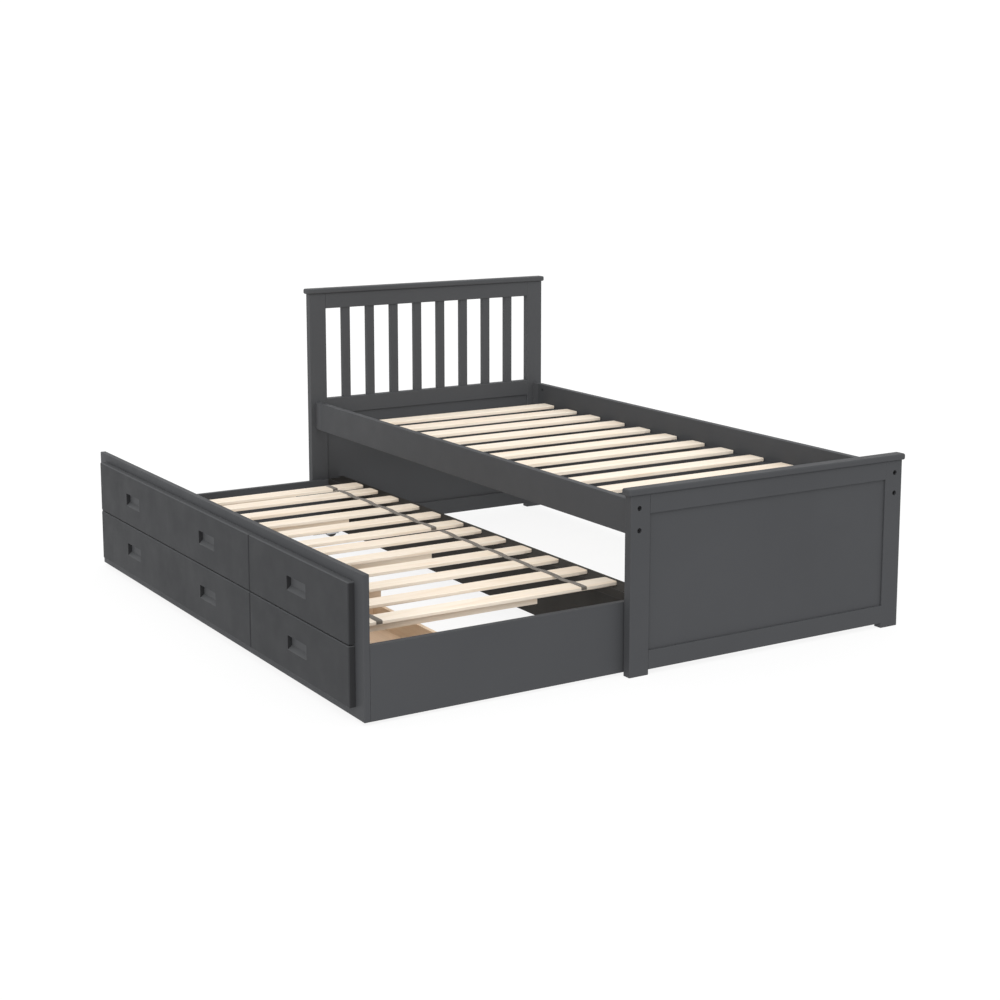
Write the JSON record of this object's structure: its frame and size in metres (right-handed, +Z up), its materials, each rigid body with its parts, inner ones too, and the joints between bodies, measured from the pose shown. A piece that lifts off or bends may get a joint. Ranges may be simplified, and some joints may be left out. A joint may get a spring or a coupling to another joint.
{
  "type": "trundle bed",
  "caption": "Painted captain's single bed with a spindle headboard, slatted base and a pull-out trundle bed on castors with drawers in its front.",
  "frame": {"origin": "on the floor, at the middle of the whole bed with its trundle pulled out", "axes": "+Z up, +Y along the bed towards the headboard, -X the side the trundle is pulled out to"},
  "size_m": [1.7934, 1.992, 0.894],
  "materials": {
    "painted_wood": "satin anthracite lacquer on board and solid wood",
    "slat_pine": "planed natural pine",
    "drawer_wood": "planed natural wood and plywood",
    "webbing": "woven tape",
    "fixing_steel": "blackened steel",
    "castor_steel": "zinc plated",
    "castor_plastic": "moulded"
  },
  "bodies": {
    "bed_frame": {"back_panel": "painted_wood", "barrel_nuts": "fixing_steel", "bed_slats": "slat_pine", "footboard_bottom_rail": "painted_wood", "footboard_cap": "painted_wood", "footboard_panel": "painted_wood", "footboard_post_left": "painted_wood", "footboard_post_right": "painted_wood", "footboard_top_rail": "painted_wood", "headboard_bottom_rail": "painted_wood", "headboard_cap": "painted_wood", "headboard_mid_rail": "painted_wood", "headboard_panel": "painted_wood", "headboard_post_left": "painted_wood", "headboard_post_right": "painted_wood", "headboard_spindles": "painted_wood", "headboard_top_rail": "painted_wood", "rail_blocks": "painted_wood", "rail_bolts": "fixing_steel", "side_rail_left": "painted_wood", "side_rail_right": "painted_wood", "slat_ledger_left": "painted_wood", "slat_ledger_right": "painted_wood"},
    "trundle": {"castor_axles": "castor_steel", "castor_brackets": "castor_steel", "drawer_bearers": "drawer_wood", "drawer_runners": "drawer_wood", "fixed_front_1": "painted_wood", "fixed_front_2": "painted_wood", "slat_tapes_front": "webbing", "slat_tapes_rear": "webbing", "trundle_batten_front": "drawer_wood", "trundle_batten_rear": "painted_wood", "trundle_cross_battens": "slat_pine", "trundle_end_foot": "painted_wood", "trundle_end_head": "painted_wood", "trundle_front_board": "painted_wood", "trundle_rear_panel": "painted_wood", "trundle_slats": "slat_pine"},
    "drawer_1": {"drawer_1_back": "drawer_wood", "drawer_1_bottom": "drawer_wood", "drawer_1_front": "painted_wood", "drawer_1_side_foot": "drawer_wood", "drawer_1_side_head": "drawer_wood"},
    "drawer_2": {"drawer_2_back": "drawer_wood", "drawer_2_bottom": "drawer_wood", "drawer_2_front": "painted_wood", "drawer_2_side_foot": "drawer_wood", "drawer_2_side_head": "drawer_wood"},
    "castor_wheel_front_foot": {"castor_wheel_front_foot": "castor_plastic"},
    "castor_wheel_front_head": {"castor_wheel_front_head": "castor_plastic"},
    "castor_wheel_rear_foot": {"castor_wheel_rear_foot": "castor_plastic"},
    "castor_wheel_rear_head": {"castor_wheel_rear_head": "castor_plastic"}
  },
  "joints": [
    {"name": "trundle_slide", "type": "slide", "parent": "bed_frame", "child": "trundle", "axis": [1, 0, 0], "range_m": [0, 0.805]},
    {"name": "drawer_1_slide", "type": "slide", "parent": "trundle", "child": "drawer_1", "axis": [-1, 0, 0], "range_m": [0, 0.27]},
    {"name": "drawer_2_slide", "type": "slide", "parent": "trundle", "child": "drawer_2", "axis": [-1, 0, 0], "range_m": [0, 0.27]},
    {"name": "castor_wheel_front_foot_spin", "type": "hinge", "parent": "trundle", "child": "castor_wheel_front_foot", "pos_m": [-0.77825, -0.921, 0.02], "axis": [0, 1, 0], "continuous": true},
    {"name": "castor_wheel_front_head_spin", "type": "hinge", "parent": "trundle", "child": "castor_wheel_front_head", "pos_m": [-0.77825, 0.921, 0.02], "axis": [0, 1, 0], "continuous": true},
    {"name": "castor_wheel_rear_foot_spin", "type": "hinge", "parent": "trundle", "child": "castor_wheel_rear_foot", "pos_m": [-0.04325, -0.921, 0.02], "axis": [0, 1, 0], "continuous": true},
    {"name": "castor_wheel_rear_head_spin", "type": "hinge", "parent": "trundle", "child": "castor_wheel_rear_head", "pos_m": [-0.04325, 0.921, 0.02], "axis": [0, 1, 0], "continuous": true}
  ],
  "couplings": [
    {"joint": "castor_wheel_front_foot_spin", "follows": "trundle_slide", "rad_per_m": 50},
    {"joint": "castor_wheel_front_head_spin", "follows": "trundle_slide", "rad_per_m": 50},
    {"joint": "castor_wheel_rear_foot_spin", "follows": "trundle_slide", "rad_per_m": 50},
    {"joint": "castor_wheel_rear_head_spin", "follows": "trundle_slide", "rad_per_m": 50}
  ]
}
